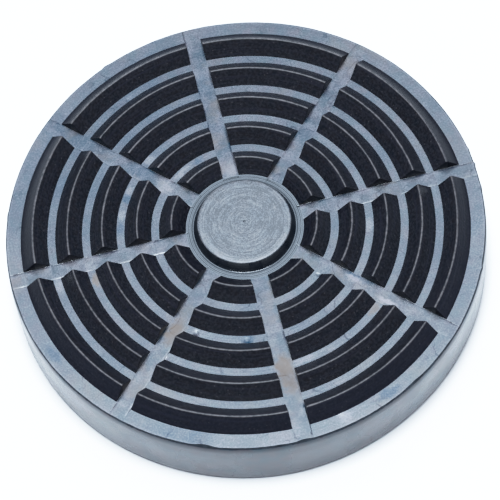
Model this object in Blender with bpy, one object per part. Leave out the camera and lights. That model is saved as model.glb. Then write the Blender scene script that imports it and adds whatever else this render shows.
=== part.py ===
"""Round rubber jack pad for a vehicle lift, moulded in one piece.

A solid black rubber disc with a plain flat underside. Its upper face carries five rings of roof-shaped
ribs round a low centre boss, and eight straight spokes run from the boss to the rim and part every ring.
The origin is the middle of the underside and +Z points up through the boss. A spoke lies along +X.
"""

import math

import bmesh
import bpy
from mathutils import Matrix

MM = 0.001

# Disc
PAD_DIAMETER = 120.0 * MM  # at the foot of the wall
BODY_HEIGHT = 18.0 * MM  # underside to the flat face between the ribs
WALL_DRAFT = 0.3 * MM  # how much less the wall's radius is at its upper edge than at its foot
FOOT_EDGE_RADIUS = 0.3 * MM
TRIM_CHAMFER = 0.35 * MM  # knife cut round the upper edge, where the mould's flash was trimmed off

# Centre boss
BOSS_TOP_DIAMETER = 23.25 * MM
BOSS_HEIGHT = 2.8 * MM
BOSS_DRAFT = 1.0 * MM  # how much the boss's radius grows from its top to its foot
BOSS_EDGE_RADIUS = 0.2 * MM
BOSS_FILLET = 0.5 * MM

# Rings of ribs, which fill the face between the hub land and the rim land
RIB_ROWS = 5
RIB_HEIGHT = 3.3 * MM
CREST_WIDTH = 0.3 * MM
HUB_LAND = 2.05 * MM
RING_LAND = 1.94 * MM
RIM_LAND = 3.75 * MM

# Spokes, left by straight bars let into the turned face of the mould
SPOKE_COUNT = 8
SPOKE_WIDTH = 4.1 * MM
SPOKE_STEP = 0.1 * MM  # the spokes lie this much below the face, which leaves the bars' witness lines

SEGMENTS = 80  # steps round the disc
ARC_STEPS = 3
CUTTER_MARGIN = 2.0 * MM
WELD_DISTANCE = 0.001 * MM
SHARP_ANGLE = math.radians(25)

RUBBER_COLOUR = (0.012, 0.013, 0.016, 1.0)
RUBBER_ROUGHNESS = 0.35


def rounded(corner, before, after, radius):
    """Points of an arc, tangent to both sides, that rounds a corner of a section."""
    to_before = (before[0] - corner[0], before[1] - corner[1])
    to_after = (after[0] - corner[0], after[1] - corner[1])
    start = math.atan2(to_before[1], to_before[0])
    turn = (math.atan2(to_after[1], to_after[0]) - start + math.pi) % math.tau - math.pi
    half = abs(turn) / 2
    room = 0.9 * min(math.hypot(*to_before), math.hypot(*to_after))
    radius = min(radius, room * math.tan(half))
    middle = start + turn / 2
    centre = (
        corner[0] + radius / math.sin(half) * math.cos(middle),
        corner[1] + radius / math.sin(half) * math.sin(middle),
    )
    sweep = math.copysign(math.pi / 2 - half, turn)
    points = []
    for step in range(ARC_STEPS + 1):
        angle = middle + math.pi + sweep * (1 - 2 * step / ARC_STEPS)
        points.append((centre[0] + radius * math.cos(angle), centre[1] + radius * math.sin(angle)))
    return points


def boss_section():
    """The boss from its axis down to the flat face."""
    top = BODY_HEIGHT + BOSS_HEIGHT
    axis_point = (0.0, top)
    edge = (BOSS_TOP_DIAMETER / 2, top)
    foot = (boss_foot_radius(), BODY_HEIGHT)
    land = (rib_field()[0], BODY_HEIGHT)
    return [
        axis_point,
        *rounded(edge, axis_point, foot, BOSS_EDGE_RADIUS),
        *rounded(foot, edge, land, BOSS_FILLET),
    ]


def boss_foot_radius():
    return BOSS_TOP_DIAMETER / 2 + BOSS_DRAFT


def upper_radius():
    """The wall's radius carried up to the face."""
    return PAD_DIAMETER / 2 - WALL_DRAFT


def rib_field():
    """The radii between which the rings of ribs lie."""
    return boss_foot_radius() + HUB_LAND, upper_radius() - RIM_LAND


def rib_section(inner, width):
    """One rib's section: two flanks that meet at a narrow crest."""
    middle = inner + width / 2
    crest = BODY_HEIGHT + RIB_HEIGHT
    return [
        (inner, BODY_HEIGHT),
        (middle - CREST_WIDTH / 2, crest),
        (middle + CREST_WIDTH / 2, crest),
        (inner + width, BODY_HEIGHT),
    ]


def rim_section():
    """The rim's edge, down the wall and in under the disc to the axis."""
    trimmed = (upper_radius() - TRIM_CHAMFER, BODY_HEIGHT)
    wall_top = (upper_radius(), BODY_HEIGHT - TRIM_CHAMFER)
    foot = (PAD_DIAMETER / 2, 0.0)
    axis_point = (0.0, 0.0)
    return [
        trimmed,
        wall_top,
        *rounded(foot, wall_top, axis_point, FOOT_EDGE_RADIUS),
        axis_point,
    ]


def turned_disc():
    """The disc with its boss and unbroken rings, spun round the axis from half its section."""
    inner, outer = rib_field()
    pitch = (outer - inner + RING_LAND) / RIB_ROWS
    section = boss_section()
    for row in range(RIB_ROWS):
        section += rib_section(inner + row * pitch, pitch - RING_LAND)
    section += rim_section()

    shape = bmesh.new()
    points = [shape.verts.new((radius, 0.0, height)) for radius, height in section]
    lines = [shape.edges.new(pair) for pair in zip(points, points[1:])]
    bmesh.ops.spin(
        shape,
        geom=points + lines,
        cent=(0, 0, 0),
        axis=(0, 0, 1),
        angle=math.tau,
        steps=SEGMENTS,
        use_merge=True,
    )
    bmesh.ops.remove_doubles(shape, verts=shape.verts, dist=WELD_DISTANCE)
    bmesh.ops.recalc_face_normals(shape, faces=shape.faces)
    return shape


def spoke_bars():
    """One bar for each spoke, from the middle of the hub land out past the rim."""
    start = boss_foot_radius() + HUB_LAND / 2
    end = PAD_DIAMETER / 2 + CUTTER_MARGIN
    bottom = BODY_HEIGHT - SPOKE_STEP
    top = BODY_HEIGHT + RIB_HEIGHT + CUTTER_MARGIN
    shape = bmesh.new()
    for spoke in range(SPOKE_COUNT):
        bar = bmesh.ops.create_cube(shape, size=1.0)["verts"]
        bmesh.ops.scale(shape, vec=(end - start, SPOKE_WIDTH, top - bottom), verts=bar)
        bmesh.ops.translate(shape, vec=((start + end) / 2, 0, (bottom + top) / 2), verts=bar)
        turn = Matrix.Rotation(spoke * math.tau / SPOKE_COUNT, 3, "Z")
        bmesh.ops.rotate(shape, cent=(0, 0, 0), matrix=turn, verts=bar)
    return shape


def add_object(name, shape):
    mesh = bpy.data.meshes.new(name)
    shape.to_mesh(mesh)
    shape.free()
    obj = bpy.data.objects.new(name, mesh)
    bpy.context.scene.collection.objects.link(obj)
    return obj


def rubber():
    """Black moulded rubber with a satin skin."""
    material = bpy.data.materials.new("black_rubber")
    material.use_nodes = True
    shader = material.node_tree.nodes["Principled BSDF"]
    shader.inputs["Base Color"].default_value = RUBBER_COLOUR
    shader.inputs["Roughness"].default_value = RUBBER_ROUGHNESS
    shader.inputs["Metallic"].default_value = 0.0
    return material


def jack_pad():
    """The pad: the turned disc with the spokes cut through its ribs."""
    pad = add_object("jack_pad", turned_disc())
    bars = add_object("spoke_bars", spoke_bars())
    bars.hide_render = True
    bars.display_type = "WIRE"

    cut = pad.modifiers.new("spokes", "BOOLEAN")
    cut.operation = "DIFFERENCE"
    cut.solver = "EXACT"
    cut.object = bars
    graph = bpy.context.evaluated_depsgraph_get()
    moulded = bpy.data.meshes.new_from_object(pad.evaluated_get(graph))
    pad.modifiers.clear()
    pad.data = moulded
    bpy.data.objects.remove(bars)

    moulded.name = "jack_pad"
    moulded.shade_smooth()
    moulded.set_sharp_from_angle(angle=SHARP_ANGLE)
    moulded.materials.clear()
    moulded.materials.append(rubber())
    return pad


for leftover in list(bpy.data.objects):
    bpy.data.objects.remove(leftover)
jack_pad()
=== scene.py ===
import math

import bmesh
import bpy
from mathutils import Matrix, Vector, noise


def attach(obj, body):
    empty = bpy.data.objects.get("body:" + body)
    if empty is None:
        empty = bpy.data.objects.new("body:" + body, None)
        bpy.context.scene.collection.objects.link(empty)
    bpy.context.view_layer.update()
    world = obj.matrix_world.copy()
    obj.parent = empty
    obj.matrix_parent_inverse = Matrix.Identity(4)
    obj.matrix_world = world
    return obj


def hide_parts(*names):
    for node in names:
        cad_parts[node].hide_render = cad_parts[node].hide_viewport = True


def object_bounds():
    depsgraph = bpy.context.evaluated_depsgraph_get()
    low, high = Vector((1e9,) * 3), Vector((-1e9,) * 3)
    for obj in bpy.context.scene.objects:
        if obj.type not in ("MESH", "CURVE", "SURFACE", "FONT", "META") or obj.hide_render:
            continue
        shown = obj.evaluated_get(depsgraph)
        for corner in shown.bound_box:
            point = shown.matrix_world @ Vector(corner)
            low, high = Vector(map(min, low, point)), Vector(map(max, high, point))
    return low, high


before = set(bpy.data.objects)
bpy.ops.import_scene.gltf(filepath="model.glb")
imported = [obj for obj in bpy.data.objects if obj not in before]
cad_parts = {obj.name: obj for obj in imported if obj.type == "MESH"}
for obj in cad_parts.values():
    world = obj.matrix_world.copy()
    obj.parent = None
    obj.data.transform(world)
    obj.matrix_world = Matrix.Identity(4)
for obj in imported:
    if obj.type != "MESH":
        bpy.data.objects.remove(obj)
cad_low, cad_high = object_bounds()

# The camera. A long lens well back looks down on the ribbed face, so the round pad shows almost no
# perspective. The picture is tilted a little, and the pad sits left of and above its middle.
MM = 0.001
FACE_HEIGHT = 18.0 * MM  # the flat face between the ribs
PICTURE_SIDE = 500  # pixels
PAD_CENTRE_PIXEL = (244.8, 226.4)  # where the middle of the face falls in the picture
FOCAL_PIXELS = 2596.0
SENSOR = 36.0
camera_distance = 644.4 * MM
camera_elevation = math.radians(62.9)
camera_azimuth = math.radians(-97.5)
camera_tilt = math.radians(-7.36)

outward = Vector((
    math.cos(camera_elevation) * math.cos(camera_azimuth),
    math.cos(camera_elevation) * math.sin(camera_azimuth),
    math.sin(camera_elevation),
))
level = Vector((-math.sin(camera_azimuth), math.cos(camera_azimuth), 0.0))
picture_right = Matrix.Rotation(camera_tilt, 3, outward) @ level
picture_up = outward.cross(picture_right)
aside = (PAD_CENTRE_PIXEL[0] - PICTURE_SIDE / 2) / FOCAL_PIXELS
below = (PAD_CENTRE_PIXEL[1] - PICTURE_SIDE / 2) / FOCAL_PIXELS
stand = camera_distance * (outward - aside * picture_right + below * picture_up)

camera_data = bpy.data.cameras.new("camera")
camera_data.lens = FOCAL_PIXELS / PICTURE_SIDE * SENSOR
camera_data.sensor_width = SENSOR
camera_data.clip_start = 0.01
camera_data.clip_end = 50.0
camera = bpy.data.objects.new("camera", camera_data)
camera.matrix_world = Matrix.Translation(stand + Vector((0, 0, FACE_HEIGHT))) @ Matrix(
    (picture_right, picture_up, outward)
).transposed().to_4x4()
bpy.context.scene.collection.objects.link(camera)
bpy.context.scene.camera = camera


# The pad. One piece of black rubber, pressed and cured in a steel mould. The mould's face was turned on a
# lathe, which gives the boss, the roof-shaped rings and their fine turning lines, and eight straight bars
# let into it part the rings into ribs and leave the flat spokes.
PAD_RADIUS = cad_high[0]
CREST_HEIGHT = cad_high[2]
WALL_DRAFT = 0.3 * MM
WALL_TOP_RADIUS = PAD_RADIUS - WALL_DRAFT
SHOULDER = 16.2 * MM  # where the wall starts to lean in towards its top
SHOULDER_DRAFT = 0.12 * MM  # how far it has come in there
WAIST = 13.0 * MM
BOSS_HEIGHT = 20.8 * MM
BOSS_RADIUS = 11.625 * MM
BOSS_FOOT_RADIUS = 12.625 * MM
BOSS_BAND = 0.3 * MM  # how far down its side the boss's matt face reaches
PIP_RADIUS = 0.3 * MM  # mark of the lathe's centre
PIP_DEPTH = 0.2 * MM
RIB_ROWS = 5
RIB_START = 14.675 * MM
RIB_PITCH = 8.643 * MM
RIB_WIDTH = 6.703 * MM
CREST_WIDTH = 0.3 * MM
TRIM_WIDTH = 0.3 * MM  # knife cut round the rim
FACE_SPACING = 0.5 * MM  # between rings of points: on the face, which carries the small marks,
SIDE_SPACING = 1.25 * MM  # on the sloping sides,
BASE_SPACING = 5.0 * MM  # and on the underside
SAME = 0.01 * MM  # heights that differ by less are one height
WELD = 0.001 * MM

# Half of the section, from the top of the axis outwards and down: radius, height, softness of the corner.
section = [
    (0.0, BOSS_HEIGHT - PIP_DEPTH, 0.0),
    (PIP_RADIUS * 0.4, BOSS_HEIGHT - PIP_DEPTH * 0.8, 0.0),
    (PIP_RADIUS, BOSS_HEIGHT, 0.0),
    (BOSS_RADIUS, BOSS_HEIGHT, 0.25 * MM),
    (BOSS_FOOT_RADIUS, FACE_HEIGHT, 0.16 * MM),
]
for row in range(RIB_ROWS):
    inner = RIB_START + row * RIB_PITCH
    middle = inner + RIB_WIDTH / 2
    section += [
        (inner, FACE_HEIGHT, 0.0),
        (middle - CREST_WIDTH / 2, CREST_HEIGHT, 0.15 * MM),
        (middle + CREST_WIDTH / 2, CREST_HEIGHT, 0.15 * MM),
        (inner + RIB_WIDTH, FACE_HEIGHT, 0.0),
    ]
section += [
    (WALL_TOP_RADIUS - TRIM_WIDTH, FACE_HEIGHT, 0.04 * MM),
    (WALL_TOP_RADIUS, FACE_HEIGHT - TRIM_WIDTH, 0.1 * MM),
    (PAD_RADIUS - SHOULDER_DRAFT, SHOULDER, 0.6 * MM),
    (PAD_RADIUS, WAIST, 1.2 * MM),
    (PAD_RADIUS, 0.0, 0.9 * MM),
    (0.0, 0.0, 0.0),
]

SPOKES = 8
SPOKE_HALF = 2.05 * MM
SPOKE_STEP = 0.04 * MM
SPOKE_DRIFT = (0.19, 0.29, 0.0, -0.21, -0.47, -0.49, -0.03, 0.07)  # degrees off an even spacing
SPOKE_SPREAD = (1.0, 1.0, 1.0, 1.0, 1.0, 1.0, 1.07, 1.0)  # its width against the others'
STEPS_PER_SPOKE = 64
COLUMNS = SPOKES * STEPS_PER_SPOKE

shape = bmesh.new()
points = [shape.verts.new((radius, 0.0, height)) for radius, height, _ in section]
for pair in zip(points, points[1:]):
    shape.edges.new(pair)
for point, (_, _, softness) in zip(points, section):
    if softness:
        bmesh.ops.bevel(
            shape,
            geom=[point],
            offset=softness,
            offset_type="OFFSET",
            segments=4,
            profile=0.5,
            affect="VERTICES",
            material=-1,
        )
for edge in list(shape.edges):
    heights = [vert.co.z for vert in edge.verts]
    on_face = min(heights) > FACE_HEIGHT - SAME and max(heights) < FACE_HEIGHT + SAME
    on_base = max(heights) < SAME
    spacing = FACE_SPACING if on_face else BASE_SPACING if on_base else SIDE_SPACING
    cuts = int(edge.calc_length() / spacing)
    if cuts:
        bmesh.ops.subdivide_edges(shape, edges=[edge], cuts=cuts)
bmesh.ops.spin(
    shape,
    geom=shape.verts[:] + shape.edges[:],
    cent=(0, 0, 0),
    axis=(0, 0, 1),
    angle=math.tau,
    steps=COLUMNS,
    use_merge=True,
)
bmesh.ops.remove_doubles(shape, verts=shape.verts, dist=WELD)
barred = shape.verts.layers.float.new("barred")  # 1 on the spokes, where the mould's bars lay

LAND, RIB, BOSS, HUB, TRIM, WALL = range(6)  # the material slots
for face in shape.faces:
    centre = face.calc_center_median()
    radius = math.hypot(centre.x, centre.y)
    if centre.z < FACE_HEIGHT - TRIM_WIDTH:
        face.material_index = WALL
    elif radius > WALL_TOP_RADIUS - TRIM_WIDTH:
        face.material_index = TRIM
    elif radius < BOSS_RADIUS and centre.z > BOSS_HEIGHT - BOSS_BAND:
        face.material_index = BOSS
    elif radius < RIB_START:
        face.material_index = HUB
    else:
        face.material_index = RIB

# The spokes. The columns of points beside each one are drawn to its edges. One edge of a spoke, from its
# middle line outwards: how far from that line each column lies, how far the rib's end is still below its
# full height there, and the share of the bar's witness groove.
FLOOR = 1.0  # more than any rib's height, so the column lies on the spoke's floor
GROOVE_WIDTH = 0.16 * MM
GROOVE_DEPTH = 0.035 * MM
END_EDGE_RADIUS = 0.14 * MM
edge_rows = [
    (0.0, FLOOR, 0.0),
    (0.35 * SPOKE_HALF, FLOOR, 0.0),
    (0.7 * SPOKE_HALF, FLOOR, 0.0),
    (SPOKE_HALF - GROOVE_WIDTH, FLOOR, 0.0),
    (SPOKE_HALF - GROOVE_WIDTH / 2, FLOOR, 1.0),
    (SPOKE_HALF, FLOOR, 0.0),
]
for turn in (0, 30, 60, 90):
    swing = math.radians(turn)
    below_edge = END_EDGE_RADIUS * (1 - math.sin(swing))
    edge_rows.append((SPOKE_HALF + END_EDGE_RADIUS * (1 - math.cos(swing)), below_edge, 0.0))
LAST = len(edge_rows) - 1
SECTOR = math.tau / SPOKES
hub_radius = (BOSS_FOOT_RADIUS + RIB_START) / 2
HUB_RUN_OUT = 0.8 * MM  # over which a spoke's floor rises to the hub
GAPING_SPOKE = 6  # flash got in beside this spoke's bar, out at the rim
GAP_RADIUS = 54.5 * MM
GAP_REACH = 4.5 * MM
GAP_DEPTH = 0.25 * MM
FAINT_LINES = (6, 7)  # spokes whose bars hardly marked the face on their clockwise side
FAINTNESS = 0.3


def hump(distance, reach):
    """1 at no distance, 0 from the reach on."""
    return max(0.0, 1 - (distance / reach) ** 2) ** 2


def spoke_angle(spoke):
    return spoke * SECTOR + math.radians(SPOKE_DRIFT[spoke % SPOKES])


def column_at(column, radius):
    """A column of points at that radius: its angle, its drop, and the shares of its groove and gap."""
    spoke, step = divmod(column, STEPS_PER_SPOKE)
    pull = max(radius, hub_radius)
    spread = SPOKE_SPREAD[spoke]
    next_spread = SPOKE_SPREAD[(spoke + 1) % SPOKES]
    if step <= LAST:
        offset, drop, groove = edge_rows[step]
        angle = spoke_angle(spoke) + math.asin(offset * spread / pull)
        return angle, drop, groove, groove * (spoke == GAPING_SPOKE)
    if step >= STEPS_PER_SPOKE - LAST:
        offset, drop, groove = edge_rows[STEPS_PER_SPOKE - step]
        angle = spoke_angle(spoke + 1) - math.asin(offset * next_spread / pull)
        return angle, drop, groove * (FAINTNESS if spoke + 1 in FAINT_LINES else 1.0), 0.0
    share = (step - LAST) / (STEPS_PER_SPOKE - 2 * LAST)
    edge_angle = math.asin(edge_rows[LAST][0] / pull)
    start = spoke_angle(spoke) + edge_angle * spread
    end = spoke_angle(spoke + 1) - edge_angle * next_spread
    return start + share * (end - start), 0.0, 0.0, 0.0


# What the press, the knife and use did to the form. Each wave of unevenness: amount, wavelength and seed.
RIB_SWAY = ((0.05 * MM, 6 * MM, 1.0), (0.03 * MM, 1.5 * MM, 2.0))
CREST_WAVES = ((0.05 * MM, 5 * MM, 3.0), (0.03 * MM, 1.3 * MM, 4.0))
GROOVE_FADING = ((1.5, 4 * MM, 5.0),)
FACE_WAVES = ((0.02 * MM, 14 * MM, 6.0),)
WALL_WAVES = ((0.05 * MM, 25 * MM, 7.0),)
CUT_WAVES = ((0.12 * MM, 9 * MM, 8.0), (0.08 * MM, 1.6 * MM, 9.0))
SHALLOWEST_CUT = -0.15 * MM  # against the knife's mean cut
CUT_REACH = 1.5 * MM  # how far in from the wall the cut moves the points,
CUT_RUN_OUT = 1.1 * MM  # and over which it comes to its full depth
DEEP_CUTS = ((246.5, 3.0, 0.4), (270.0, 2.6, 0.3), (299.0, 4.0, 0.2))  # degrees, half-width, extra mm
FLASH_TAGS = (  # degrees round the rim, and mm out
    (5.5, 0.3),
    (1.5, 0.3),
    (355.0, 0.25),
    (112.9, 0.4),
    (161.1, 0.3),
    (333.0, 0.25),
)
TAG_REACH = 0.8  # degrees
TAG_INSET = 0.2 * MM
TAG_WIDTH = 0.7 * MM
TAG_HEIGHT = 0.8 * MM
PITS = (  # degrees, radius, half-width and depth in mm
    (233.8, 31.2, 0.6, 0.25),
    (227.7, 40.4, 0.5, 0.2),
    (257.0, 31.4, 0.8, 0.35),
    (113.8, 47.6, 0.55, 0.25),
    (308.5, 22.8, 0.6, 0.14),
    (280.1, 55.9, 0.5, -0.15),
)
PIT_BAND = 0.3 * MM  # only points this near the face's height are pitted
FLAT_SPOT_ANGLE = 302.0  # the wall is a little out of round there, most at its foot
FLAT_SPOT_REACH = 40.0
FLAT_SPOT_DEPTH = 0.38 * MM
FLAT_SPOT_HEIGHT = 16.0 * MM
FLAT_SPOT_INSET = 3.0 * MM


def wander(place, waves):
    """Smooth noise about 0, summed over the waves."""
    total = 0.0
    for amount, wavelength, seed in waves:
        total += amount * noise.noise(place / wavelength + Vector((seed, seed * 1.7, seed * 2.3)))
    return total


pits = []
for angle, radius, width, depth in PITS:
    turn = math.radians(angle)
    pits.append((Vector((radius * math.cos(turn), radius * math.sin(turn))) * MM, width * MM, depth * MM))

for vert in shape.verts:
    radius = math.hypot(vert.co.x, vert.co.y)
    height = vert.co.z
    if radius < SAME:
        continue
    column = round(math.atan2(vert.co.y, vert.co.x) / SECTOR * STEPS_PER_SPOKE) % COLUMNS
    angle, drop, groove, gape = column_at(column, radius)
    flat = Vector((radius * math.cos(angle), radius * math.sin(angle)))
    place = Vector((flat.x, flat.y, height))
    degrees = math.degrees(angle) % 360

    if height > FACE_HEIGHT - SAME and radius > hub_radius:
        if drop == FLOOR:
            vert[barred] = 1.0
            sunk = SPOKE_STEP + groove * max(0.0, 0.5 + wander(place, GROOVE_FADING)) * GROOVE_DEPTH
            sunk += gape * GAP_DEPTH * hump(radius - GAP_RADIUS, GAP_REACH)
            height = FACE_HEIGHT - sunk * min(1.0, (radius - hub_radius) / HUB_RUN_OUT)
        else:
            height = max(FACE_HEIGHT, height - drop)
            rise = (height - FACE_HEIGHT) / (CREST_HEIGHT - FACE_HEIGHT)
            radius += wander(place, RIB_SWAY)
            height += rise * wander(place, CREST_WAVES)
    if abs(height - FACE_HEIGHT) < PIT_BAND and radius < WALL_TOP_RADIUS - TRIM_WIDTH / 2:
        height += wander(place, FACE_WAVES)
        for centre, width, depth in pits:
            height -= depth * hump((flat - centre).length, width)
    if radius > WALL_TOP_RADIUS - CUT_REACH and height > WAIST:
        cut = wander(place, CUT_WAVES)
        for middle, reach, extra in DEEP_CUTS:
            cut += extra * MM * hump(degrees - middle, reach)
        cut = max(cut, SHALLOWEST_CUT)
        if height > FACE_HEIGHT - TRIM_WIDTH / 3:
            radius -= cut * min(1.0, (radius - WALL_TOP_RADIUS + CUT_REACH) / CUT_RUN_OUT)
        else:
            height -= cut * (height - WAIST) / (FACE_HEIGHT - TRIM_WIDTH - WAIST)
        if height > FACE_HEIGHT - TAG_HEIGHT:
            at_edge = hump(radius - WALL_TOP_RADIUS + TAG_INSET, TAG_WIDTH)
            for middle, out in FLASH_TAGS:
                radius += out * MM * hump(degrees - middle, TAG_REACH) * at_edge
    if radius > WALL_TOP_RADIUS - FLAT_SPOT_INSET and height < FLAT_SPOT_HEIGHT:
        pressed_in = hump(degrees - FLAT_SPOT_ANGLE, FLAT_SPOT_REACH) * (1 - height / FLAT_SPOT_HEIGHT)
        radius -= FLAT_SPOT_DEPTH * pressed_in
    if radius > WALL_TOP_RADIUS - 0.5 * MM and 0 < height < FACE_HEIGHT - 0.2 * MM:
        radius += wander(place, WALL_WAVES)
    vert.co = (radius * math.cos(angle), radius * math.sin(angle), height)
bmesh.ops.remove_doubles(shape, verts=shape.verts, dist=WELD)

RIB_FOOT = 0.05 * MM  # what rises less than this above the face is part of the flats
SHARP_ANGLE = math.radians(36)
for face in shape.faces:
    if face.material_index == RIB and face.calc_center_median().z < FACE_HEIGHT + RIB_FOOT:
        face.material_index = LAND
bmesh.ops.recalc_face_normals(shape, faces=shape.faces)

pad_mesh = bpy.data.meshes.new("moulded_pad")
shape.to_mesh(pad_mesh)
shape.free()
pad_mesh.shade_smooth()
pad_mesh.set_sharp_from_angle(angle=SHARP_ANGLE)
pad = bpy.data.objects.new("moulded_pad", pad_mesh)
bpy.context.scene.collection.objects.link(pad)


def linear(colour):
    """An sRGB hex colour as linear red, green, blue and alpha."""
    channels = [int(colour[place : place + 2], 16) / 255 for place in (1, 3, 5)]
    return [c / 12.92 if c <= 0.04045 else ((c + 0.055) / 1.055) ** 2.4 for c in channels] + [1.0]


def feed(material, value, socket):
    """Sets a socket to a value, or links it from a socket or from a node's first output in use."""
    if isinstance(value, bpy.types.Node):
        value = next(output for output in value.outputs if output.enabled)
    if isinstance(value, bpy.types.NodeSocket):
        material.node_tree.links.new(value, socket)
    else:
        socket.default_value = value


def add(material, kind, sockets=(), **settings):
    """A node with its settings made and its sockets fed, by name, or in their order from a list."""
    node = material.node_tree.nodes.new(kind)
    for name, value in settings.items():
        setattr(node, name, value)
    if isinstance(sockets, dict):
        for name, value in sockets.items():
            feed(material, value, node.inputs[name])
    else:
        in_use = [socket for socket in node.inputs if socket.enabled]
        for socket, value in zip(in_use, sockets):
            feed(material, value, socket)
    return node


def surface(name):
    """A material, and the place on the piece that its patterns are read from."""
    material = bpy.data.materials.new(name)
    material.use_nodes = True
    return material, add(material, "ShaderNodeTexCoord").outputs["Object"]


def finish(mesh, material, sockets):
    """Feeds the sockets of the material's shader, and gives the material to the mesh as its next slot."""
    shader = material.node_tree.nodes["Principled BSDF"]
    for name, value in sockets.items():
        feed(material, value, shader.inputs[name])
    mesh.materials.append(material)


def from_axis(material, place):
    """How far a place is from the pad's axis, and its direction from it."""
    flat = add(material, "ShaderNodeVectorMath", [place, (1, 1, 0)], operation="MULTIPLY")
    distance = add(material, "ShaderNodeVectorMath", [flat], operation="LENGTH")
    return distance, add(material, "ShaderNodeVectorMath", [flat], operation="NORMALIZE")


def turned_lines(material, place, pitch, turns):
    """Noise in rings round the axis, about a pitch apart, each changing so many times in its turn."""
    distance, way = from_axis(material, place)
    rings = add(material, "ShaderNodeMath", [distance, 1 / pitch], operation="MULTIPLY")
    lift = add(material, "ShaderNodeCombineXYZ", {"Z": rings})
    swell = (turns / 6,) * 3  # a circle of radius 1 is about 6 round
    spread = add(material, "ShaderNodeVectorMath", [way, swell, lift], operation="MULTIPLY_ADD")
    return add(material, "ShaderNodeTexNoise", {"Vector": spread, "Scale": 1.0, "Detail": 1.0})


def blotches(material, place, size, low, high, detail=2.0):
    """Noise in soft blotches of about that size, from the low value to the high one."""
    cloud = add(material, "ShaderNodeTexNoise", {"Vector": place, "Scale": 1 / size, "Detail": detail})
    return add(material, "ShaderNodeMapRange", [cloud, 0.32, 0.68, low, high])


def stain(material, place, angle, distance, along, across, strength):
    """A round-ended patch at that angle in degrees and distance in mm, that fades at its edge."""
    turn = math.radians(angle)
    sockets = {
        "Vector": place,
        "Location": (distance * math.cos(turn) * MM, distance * math.sin(turn) * MM, FACE_HEIGHT),
        "Rotation": (0, 0, turn),
        "Scale": (across * MM, along * MM, 10 * MM),
    }
    spot = add(material, "ShaderNodeMapping", sockets, vector_type="TEXTURE")
    away = add(material, "ShaderNodeVectorMath", [spot], operation="LENGTH")
    return add(material, "ShaderNodeMapRange", [away, 0.6, 1.3, strength, 0.0])


# The flats: a satin skin with faint turning lines, under a thin bloom of wax and dust. The bloom is thick
# in pale patches, tan where dirt has settled in it, and rubbed down to bluish black rubber in others. The
# lines and the grain are drawn coarser than the real ones, so that they show in the render. Each stain:
# degrees, radius in mm, half-length along the ring and half-width across it, and strength.
PALE_STAINS = (
    (135, 23.5, 2.0, 2.5, 0.21),
    (120.5, 22.2, 2.6, 0.9, 0.21),
    (127, 30.9, 1.4, 1.0, 0.21),
    (145.5, 30.9, 1.6, 1.0, 0.21),
    (158, 30.9, 1.5, 0.9, 0.21),
    (184.5, 48.2, 1.6, 1.0, 0.21),
    (278.5, 39.2, 2.6, 0.9, 0.21),
    (281, 57.3, 1.6, 1.7, 0.25),
    (90, 16.5, 2.2, 2.5, 0.21),
    (345, 30.9, 2.0, 0.9, 0.21),
    (314, 40.8, 0.7, 2.6, 0.6),
    (316, 30.5, 0.7, 2.0, 0.35),
    (180.5, 39.7, 1.0, 1.6, 0.21),
)
TAN_STAINS = (
    (225, 33.5, 2.2, 4.0, 0.9),
    (270, 42.0, 2.2, 4.5, 1.0),
    (270, 37.5, 2.2, 2.5, 0.5),
    (187, 39.2, 2.0, 1.0, 0.9),
    (309.5, 39.2, 2.0, 1.0, 0.7),
)
RUBBED_STAINS = (
    (134, 31, 2.0, 4.0, 0.4),
    (45, 36, 2.2, 14, 0.25),
    (90, 34, 2.2, 16, 0.3),
    (108.5, 22.2, 1.6, 0.9, 0.8),
    (149.5, 31, 1.2, 1.0, 0.9),
    (165, 31, 1.6, 1.0, 0.8),
    (257.6, 31, 1.8, 0.9, 0.8),
    (293, 57.6, 3.2, 1.4, 1.0),
    (202, 57.4, 3.0, 1.2, 0.6),
    (317.5, 32, 1.0, 4.5, 0.9),
    (312, 27, 1.2, 2.0, 0.5),
    (242, 57.6, 9, 3.0, 0.5),
    (128, 44, 30, 18, 0.35),
)
RAGGED_SIZE = 2.0 * MM  # of the tongues in a stain's edge
RAGGED_REACH = 3.0 * MM
GRAIN_SIZE = 0.45 * MM
SEAM_WIDTH = 0.12 * MM
CREASE_SIZE = 6.0 * MM
BURNISHED = (WALL_TOP_RADIUS - 0.9 * MM, WALL_TOP_RADIUS - 0.45 * MM)  # the rim's edge is rubbed pale
OUTER_LAND = (RIB_START + RIB_ROWS * RIB_PITCH - 4 * MM, WALL_TOP_RADIUS - 3 * MM)  # shines a little more

land, place = surface("bloomed_satin_rubber")
radius, _ = from_axis(land, place)
on_spoke = add(land, "ShaderNodeAttribute", attribute_name="barred").outputs["Fac"]
off_spoke = add(land, "ShaderNodeMath", [1.0, on_spoke], operation="SUBTRACT")
lines = turned_lines(land, place, 0.45 * MM, 6)
lines = add(land, "ShaderNodeMath", [lines, off_spoke], operation="MULTIPLY")

tongues = add(land, "ShaderNodeTexNoise", {"Vector": place, "Scale": 1 / RAGGED_SIZE, "Detail": 3.0})
shift = add(land, "ShaderNodeVectorMath", [tongues.outputs["Color"], (0.5,) * 3], operation="SUBTRACT")
shift = add(land, "ShaderNodeVectorMath", [shift, RAGGED_REACH], operation="SCALE")
ragged = add(land, "ShaderNodeVectorMath", [place, shift], operation="ADD")
coats = []
for stains, coat in (
    (PALE_STAINS, blotches(land, place, 7 * MM, 0.0, 0.085, 4.0)),
    (TAN_STAINS, blotches(land, place, 11 * MM, -0.5, 0.25, 4.0)),
    (RUBBED_STAINS, blotches(land, place, 8 * MM, 0.35, -0.1, 4.0)),
):
    for angle, distance, along, across, strength in stains:
        mask = stain(land, ragged, angle, distance, along, across, strength)
        coat = add(land, "ShaderNodeMath", [coat, mask], operation="ADD", use_clamp=True)
    coats.append(coat)
bloom, dirt, rubbed = coats

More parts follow.
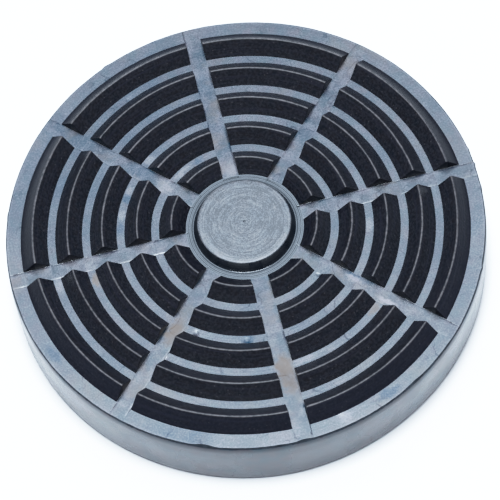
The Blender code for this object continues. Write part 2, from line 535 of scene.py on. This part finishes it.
# The spokes carry most of what settles on the pad.
settled = blotches(land, place, 2.5 * MM, -0.08, 0.12, 3.0)
settled = add(land, "ShaderNodeMath", [on_spoke, settled], operation="MULTIPLY")
bloom = add(land, "ShaderNodeMath", [bloom, settled], operation="ADD", use_clamp=True)
settled = blotches(land, place, 4.0 * MM, -0.35, 0.22, 3.0)
settled = add(land, "ShaderNodeMath", [on_spoke, settled], operation="MULTIPLY")
dirt = add(land, "ShaderNodeMath", [dirt, settled], operation="ADD", use_clamp=True)

# Where the ends of the mould's rings met the bars, a hair of flash crosses the spokes in arcs.
phase = add(land, "ShaderNodeMath", [radius, RIB_START - SEAM_WIDTH / 2], operation="SUBTRACT")
arcs = 0.0
for offset in (0.0, RIB_WIDTH):
    seam = add(land, "ShaderNodeMath", [phase, offset], operation="SUBTRACT")
    seam = add(land, "ShaderNodeMath", [seam, RIB_PITCH], operation="FLOORED_MODULO")
    seam = add(land, "ShaderNodeMath", [seam, SEAM_WIDTH], operation="LESS_THAN")
    arcs = add(land, "ShaderNodeMath", [seam, arcs], operation="MAXIMUM")
arcs = add(land, "ShaderNodeMath", [arcs, on_spoke], operation="MULTIPLY")
patches = blotches(land, place, 3 * MM, 0.0, 0.16)
arcs = add(land, "ShaderNodeMath", [arcs, patches], operation="MULTIPLY")

# The colour: rubber that varies from teal to brown, then each coat over it.
grain = {"Vector": place, "Scale": 1 / GRAIN_SIZE, "Detail": 4.0, "Roughness": 0.6}
grain = add(land, "ShaderNodeTexNoise", grain)
film = add(land, "ShaderNodeMapRange", [radius, *BURNISHED, 0.0, 0.09])
film = add(land, "ShaderNodeMath", [bloom, film], operation="ADD")
film = add(land, "ShaderNodeMath", [film, arcs], operation="ADD")
mottle = add(land, "ShaderNodeMapRange", [grain, 0.3, 0.7, -0.14, 0.14])
film = add(land, "ShaderNodeMath", [mottle, film], operation="ADD", use_clamp=True)
hue = blotches(land, place, 2.4 * MM, 0.0, 1.0, 4.0)
base = add(land, "ShaderNodeMix", [hue, linear("#021c26"), linear("#241e28")], data_type="RGBA")
for coat, colour in ((rubbed, "#08293b"), (film, "#8b858a"), (dirt, "#4c4038")):
    base = add(land, "ShaderNodeMix", [coat, base, linear(colour)], data_type="RGBA")

# The shine: less on the spokes and where it is rubbed, and lost in the creases.
keen = add(land, "ShaderNodeMapRange", [radius, *OUTER_LAND, 0.53, 0.58])
creases = add(land, "ShaderNodeTexNoise", {"Vector": place, "Scale": 1 / CREASE_SIZE, "Detail": 1.5})
creases = add(land, "ShaderNodeMath", [creases, 0.5, 0.01], operation="COMPARE")
patches = blotches(land, place, 5 * MM, -0.3, 0.5)
creases = add(land, "ShaderNodeMath", [creases, patches], operation="MULTIPLY")
keen = add(land, "ShaderNodeMath", [on_spoke, -0.05, keen], operation="MULTIPLY_ADD")
keen = add(land, "ShaderNodeMath", [rubbed, -0.2, keen], operation="MULTIPLY_ADD")
keen = add(land, "ShaderNodeMath", [creases, -0.5, keen], operation="MULTIPLY_ADD", use_clamp=True)

dull = add(land, "ShaderNodeMath", [on_spoke, 0.04, 0.24], operation="MULTIPLY_ADD")
pores = add(land, "ShaderNodeMapRange", [grain, 0.28, 0.38, 0.16, 0.0])
for layer, weight in ((bloom, 0.35), (dirt, 0.25), (rubbed, 0.09), (lines, 0.08), (pores, 1.0)):
    dull = add(land, "ShaderNodeMath", [layer, weight, dull], operation="MULTIPLY_ADD")
handled = blotches(land, place, 1.5 * MM, -0.02, 0.04, 4.0)
dull = add(land, "ShaderNodeMath", [handled, dull], operation="ADD")

peel = add(land, "ShaderNodeTexNoise", {"Vector": place, "Scale": 1 / (2.2 * MM), "Detail": 0.0})
relief = add(land, "ShaderNodeBump", {"Height": peel, "Distance": 0.01 * MM})
relief = add(land, "ShaderNodeBump", {"Height": lines, "Distance": 0.012 * MM, "Normal": relief})
sockets = {"Base Color": base, "Specular IOR Level": keen, "Roughness": dull, "Normal": relief}
finish(pad_mesh, land, sockets)

# The ribs: the same skin without its bloom, near black, with turning lines, a fine grain and specks of
# dust. Their crests are scuffed grey, and the outer side of the last ring, which handling reaches, is
# greyer and duller than the rest.
SCUFFED = (CREST_HEIGHT - 0.16 * MM, CREST_HEIGHT - 0.02 * MM)
SPECK_SPACING = 1.1 * MM
LAST_CREST = RIB_START + (RIB_ROWS - 1) * RIB_PITCH + RIB_WIDTH / 2
HANDLED_SIDE = (LAST_CREST + 0.2 * MM, LAST_CREST + 0.4 * MM)

ribs, place = surface("turned_black_rubber")
radius, _ = from_axis(ribs, place)
height = add(ribs, "ShaderNodeSeparateXYZ", [place]).outputs["Z"]
lines = turned_lines(ribs, place, 0.35 * MM, 12)
grain = add(ribs, "ShaderNodeTexNoise", {"Vector": place, "Scale": 1 / (0.6 * MM), "Detail": 2.0})
hue = blotches(ribs, place, 1.6 * MM, 0.0, 1.0, 5.0)
base = add(ribs, "ShaderNodeMix", [hue, linear("#00040b"), linear("#08060a")], data_type="RGBA")
streaks = add(ribs, "ShaderNodeMapRange", [lines, 0.5, 0.75, 0.0, 1.0])
base = add(ribs, "ShaderNodeMix", [streaks, base, linear("#11111a")], data_type="RGBA")
mottle = add(ribs, "ShaderNodeMapRange", [grain, 0.42, 0.65, 0.0, 0.75])
base = add(ribs, "ShaderNodeMix", [mottle, base, linear("#18181d")], data_type="RGBA")

specks = {"Vector": place, "Scale": 1 / SPECK_SPACING, "Randomness": 1.0}
specks = add(ribs, "ShaderNodeTexVoronoi", specks)
dust_and_painted_light = add(ribs, "ShaderNodeMapRange", [specks.outputs["Distance"], 0.1, 0.2, 0.2, 0.0])
chosen = add(ribs, "ShaderNodeSeparateColor", [specks.outputs["Color"]])
chosen = add(ribs, "ShaderNodeMath", [chosen, 0.55], operation="GREATER_THAN")
dust_and_painted_light = add(ribs, "ShaderNodeMath", [dust_and_painted_light, chosen], operation="MULTIPLY")
scuff = add(ribs, "ShaderNodeMapRange", [height, *SCUFFED, 0.0, 1.0])
patches = blotches(ribs, place, 0.9 * MM, 0.05, 0.6, 4.0)
pale = add(ribs, "ShaderNodeMath", [scuff, patches], operation="MULTIPLY")
pale = add(ribs, "ShaderNodeMath", [pale, dust_and_painted_light], operation="MAXIMUM")
base = add(ribs, "ShaderNodeMix", [pale, base, linear("#575152")], data_type="RGBA")
outer = add(ribs, "ShaderNodeMapRange", [radius, *HANDLED_SIDE, 0.0, 0.5])
base = add(ribs, "ShaderNodeMix", [outer, base, linear("#191a20")], data_type="RGBA")

keen = add(ribs, "ShaderNodeMath", [outer, -0.6, 0.37], operation="MULTIPLY_ADD")
dull = add(ribs, "ShaderNodeMath", [scuff, 0.2, 0.33], operation="MULTIPLY_ADD")
relief = add(ribs, "ShaderNodeBump", {"Height": lines, "Distance": 0.03 * MM})
relief = add(ribs, "ShaderNodeBump", {"Height": grain, "Distance": 0.04 * MM, "Normal": relief})
sockets = {"Base Color": base, "Specular IOR Level": keen, "Roughness": dull, "Normal": relief}
finish(pad_mesh, ribs, sockets)

# The boss: its face was left as it came from the lathe, so it is matt, with plain turning rings, short arcs
# among them and dark pocks. It is paler towards its edge, and greasy fingers left darker stains, which have
# degrees, radius in mm, half-length and half-width.
BOSS_STAINS = (
    (337, 7.4, 1.6, 0.9),
    (318, 6.9, 1.5, 0.8),
    (222, 7.2, 2.0, 0.9),
    (161, 8.3, 1.8, 0.8),
    (57, 9.3, 2.6, 0.3),
)
PALE_EDGE = (9.8 * MM, 10.8 * MM)
POCK_SPACING = 0.9 * MM

boss, place = surface("turned_matt_rubber")
radius, _ = from_axis(boss, place)
fine = turned_lines(boss, place, 0.28 * MM, 5)
broad = turned_lines(boss, place, 1.3 * MM, 3)
rings = add(boss, "ShaderNodeMath", [broad, 0.6, fine], operation="MULTIPLY_ADD")
arcs = turned_lines(boss, place, 0.3 * MM, 24)
grain = add(boss, "ShaderNodeTexNoise", {"Vector": place, "Scale": 1 / (0.3 * MM), "Detail": 2.0})
pale = add(boss, "ShaderNodeMapRange", [rings, 0.45, 1.15, -0.1, 0.75])
for layer in (
    add(boss, "ShaderNodeMapRange", [arcs, 0.3, 0.7, -0.3, 0.3]),
    add(boss, "ShaderNodeMapRange", [grain, 0.25, 0.75, -0.7, 0.7]),
    blotches(boss, place, 3.0 * MM, -0.1, 0.12),
    add(boss, "ShaderNodeMapRange", [radius, *PALE_EDGE, 0.0, 0.2]),
):
    pale = add(boss, "ShaderNodeMath", [layer, pale], operation="ADD")
for angle, distance, along, across in BOSS_STAINS:
    mask = stain(boss, place, angle, distance, along, across, -0.28)
    pale = add(boss, "ShaderNodeMath", [mask, pale], operation="ADD", use_clamp=True)

specks = add(boss, "ShaderNodeTexVoronoi", {"Vector": place, "Scale": 1 / POCK_SPACING, "Randomness": 1.0})
pocks = add(boss, "ShaderNodeMapRange", [specks.outputs["Distance"], 0.12, 0.22, -0.5, 0.0])
chosen = add(boss, "ShaderNodeSeparateColor", [specks.outputs["Color"]])
chosen = add(boss, "ShaderNodeMath", [chosen, 0.65], operation="GREATER_THAN")
pocks = add(boss, "ShaderNodeMath", [pocks, chosen], operation="MULTIPLY")
pale = add(boss, "ShaderNodeMath", [pocks, pale], operation="ADD", use_clamp=True)
hue = blotches(boss, place, 2.2 * MM, 0.0, 1.0, 4.0)
tint = add(boss, "ShaderNodeMix", [hue, linear("#4d5157"), linear("#545254")], data_type="RGBA")
base = add(boss, "ShaderNodeMix", [pale, linear("#08111a"), tint], data_type="RGBA")
relief = add(boss, "ShaderNodeBump", {"Height": rings, "Distance": 0.025 * MM})
relief = add(boss, "ShaderNodeBump", {"Height": grain, "Distance": 0.015 * MM, "Normal": relief})
sockets = {"Base Color": base, "Specular IOR Level": 0.52, "Roughness": 0.42, "Normal": relief}
finish(pad_mesh, boss, sockets)

# The hub: the boss's side and the narrow land round its foot, which the mould's polish left glossy. The
# turning tool scored a few dull rings in it.
HUB_RINGS = (  # radius, half-width in mm, and shine lost there
    (12.66, 0.12, 0.35),
    (13.12, 0.2, 0.42),
    (13.55, 0.08, 0.3),
    (13.95, 0.1, 0.4),
    (14.35, 0.07, 0.3),
)
hub, place = surface("polished_rubber")
radius, _ = from_axis(hub, place)
lines = turned_lines(hub, place, 0.38 * MM, 3)
hue = blotches(hub, place, 3 * MM, 0.0, 1.0)
base = add(hub, "ShaderNodeMix", [hue, linear("#0a0f16"), linear("#1a1d22")], data_type="RGBA")
dull = add(hub, "ShaderNodeMapRange", [lines, 0.35, 0.65, 0.12, 0.22])
keen = 0.62
for ring, half_width, lost in HUB_RINGS:
    scored = add(hub, "ShaderNodeMath", [radius, ring * MM, half_width * MM], operation="COMPARE")
    keen = add(hub, "ShaderNodeMath", [scored, -lost, keen], operation="MULTIPLY_ADD")
relief = add(hub, "ShaderNodeBump", {"Height": lines, "Distance": 0.02 * MM})
sockets = {"Base Color": base, "Specular IOR Level": keen, "Roughness": dull, "Normal": relief}
finish(pad_mesh, hub, sockets)

# The knife's cut round the rim: bare rubber, dark and dull, with the blade's chatter across it.
trim, place = surface("knife_cut_rubber")
hue = blotches(trim, place, 2 * MM, 0.0, 1.0)
base = add(trim, "ShaderNodeMix", [hue, linear("#0a1016"), linear("#23282e")], data_type="RGBA")
chatter = add(trim, "ShaderNodeTexNoise", {"Vector": place, "Scale": 1 / (0.5 * MM), "Detail": 2.0})
relief = add(trim, "ShaderNodeBump", {"Height": chatter, "Distance": 0.04 * MM})
sockets = {"Base Color": base, "Specular IOR Level": 0.24, "Roughness": 0.5, "Normal": relief}
finish(pad_mesh, trim, sockets)

# The wall and the underside: the satin skin of the mould's plain ring and plate, mottled by handling, and
# painted paler towards the foot as a painted reflection of the bright table there. Its upper edge was
# buffed after trimming, and is duller the higher it lies and the nearer it is to the knife's ragged cut.
STREAK_SIZE = 0.8 * MM
STREAK_REACH = 0.9 * MM
CUT_BAND = (FACE_HEIGHT - 0.15 * MM, FACE_HEIGHT)
BUFFED_BAND = (15.0 * MM, FACE_HEIGHT - 0.5 * MM)
PAINTED_LIGHT_HEIGHT = 5.0 * MM

wall, place = surface("satin_rubber")
height = add(wall, "ShaderNodeSeparateXYZ", [place]).outputs["Z"]
hue = blotches(wall, place, 4.5 * MM, 0.0, 1.0)
base = add(wall, "ShaderNodeMix", [hue, linear("#062430"), linear("#281f28")], data_type="RGBA")
# Painted light: the wall's colour is mixed towards pale grey over its lowest 5 mm, a painted reflection of
# the bright table at its foot.
dust_and_painted_light = add(wall, "ShaderNodeMapRange", [height, 0.0, PAINTED_LIGHT_HEIGHT, 0.3, 0.0])
base = add(wall, "ShaderNodeMix", [dust_and_painted_light, base, linear("#7d7a7c")], data_type="RGBA")

streaks = add(wall, "ShaderNodeMapping", {"Vector": place, "Scale": (1.0, 1.0, 0.35)})
streaks = add(wall, "ShaderNodeTexNoise", {"Vector": streaks, "Scale": 1 / STREAK_SIZE, "Detail": 2.0})
reached = add(wall, "ShaderNodeMath", [streaks, STREAK_REACH, height], operation="MULTIPLY_ADD")
uncut = add(wall, "ShaderNodeMapRange", [reached, *CUT_BAND, 1.0, 0.3])
unbuffed = add(wall, "ShaderNodeMapRange", [height, *BUFFED_BAND, 1.0, 0.6])
keen = add(wall, "ShaderNodeMath", [unbuffed, uncut], operation="MULTIPLY")
keen = add(wall, "ShaderNodeMath", [keen, 2.0], operation="POWER")
keen = add(wall, "ShaderNodeMath", [keen, 0.38], operation="MULTIPLY")
handled = blotches(wall, place, 7 * MM, 0.42, 0.52)
dull = add(wall, "ShaderNodeMath", [unbuffed, -0.2, handled], operation="MULTIPLY_ADD")
peel = add(wall, "ShaderNodeTexNoise", {"Vector": place, "Scale": 1 / (4 * MM), "Detail": 0.0})
relief = add(wall, "ShaderNodeBump", {"Height": peel, "Distance": 0.02 * MM})
sockets = {"Base Color": base, "Specular IOR Level": keen, "Roughness": dull, "Normal": relief}
finish(pad_mesh, wall, sockets)

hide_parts("jack_pad")
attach(pad, "root")


# The table top. A plain white sheet of paper, matt, lit until it has no tone of its own.
FLOOR_SIDE = 3.0
floor_shape = bmesh.new()
bmesh.ops.create_grid(floor_shape, x_segments=1, y_segments=1, size=FLOOR_SIDE / 2)
floor_mesh = bpy.data.meshes.new("table_top")
floor_shape.to_mesh(floor_mesh)
floor_shape.free()
floor = bpy.data.objects.new("table_top", floor_mesh)
bpy.context.scene.collection.objects.link(floor)
paper, _ = surface("white_paper")
sockets = {"Base Color": linear("#efefef"), "Specular IOR Level": 0.2, "Roughness": 0.9}
finish(floor_mesh, paper, sockets)

# The light. A bright soft box hangs overhead. A dimmer one leans over from behind the pad, where the flat
# rubber mirrors it, and the room is dim. Each box: its name, its distance, its lean from straight up to the
# right and to the back, its width and depth, all four in degrees, its radiance and its colour.
for name, distance, to_right, to_back, width, depth, radiance, colour in (
    ("overhead_soft_box", 4.0, -0.5, 2.2, 17.0, 15.0, 100.0, (0.87, 1.0, 1.13)),
    ("far_soft_box", 1.5, 3.0, 24.0, 28.0, 22.0, 6.8, (0.79, 1.0, 1.22)),
):
    lean = Vector((math.tan(math.radians(to_right)), math.tan(math.radians(to_back)), 1.0)).normalized()
    soft_box = bpy.data.lights.new(name, "AREA")
    soft_box.shape = "RECTANGLE"
    soft_box.size = 2 * distance * math.tan(math.radians(width / 2))
    soft_box.size_y = 2 * distance * math.tan(math.radians(depth / 2))
    soft_box.energy = radiance * math.pi * soft_box.size * soft_box.size_y
    soft_box.color = colour
    soft_box_object = bpy.data.objects.new(name, soft_box)
    soft_box_object.location = distance * lean
    soft_box_object.rotation_euler = lean.to_track_quat("Z", "Y").to_euler()
    soft_box_object.visible_camera = False
    bpy.context.scene.collection.objects.link(soft_box_object)

ROOM_RADIANCE = (0.28, 0.31, 0.37, 1.0)
world = bpy.data.worlds.new("room")
world.use_nodes = True
world.node_tree.nodes["Background"].inputs["Color"].default_value = ROOM_RADIANCE
bpy.context.scene.world = world

# The camera film. It keeps the rubber's tones as they are and rolls off the white table's.
FILM_WHITE = 2.5  # the radiance that turns out pure white
FILM_SHOULDER = ((0.45, 0.45), (0.7, 0.64), (1.0, 0.79), (1.35, 0.89), (1.9, 0.97))
film = bpy.context.scene.view_settings
film.view_transform = "Standard"
film.use_curve_mapping = True
film.curve_mapping.white_level = (FILM_WHITE,) * 3
for radiance, shown in FILM_SHOULDER:
    film.curve_mapping.curves[3].points.new(radiance / FILM_WHITE, shown).handle_type = "VECTOR"
film.curve_mapping.update()
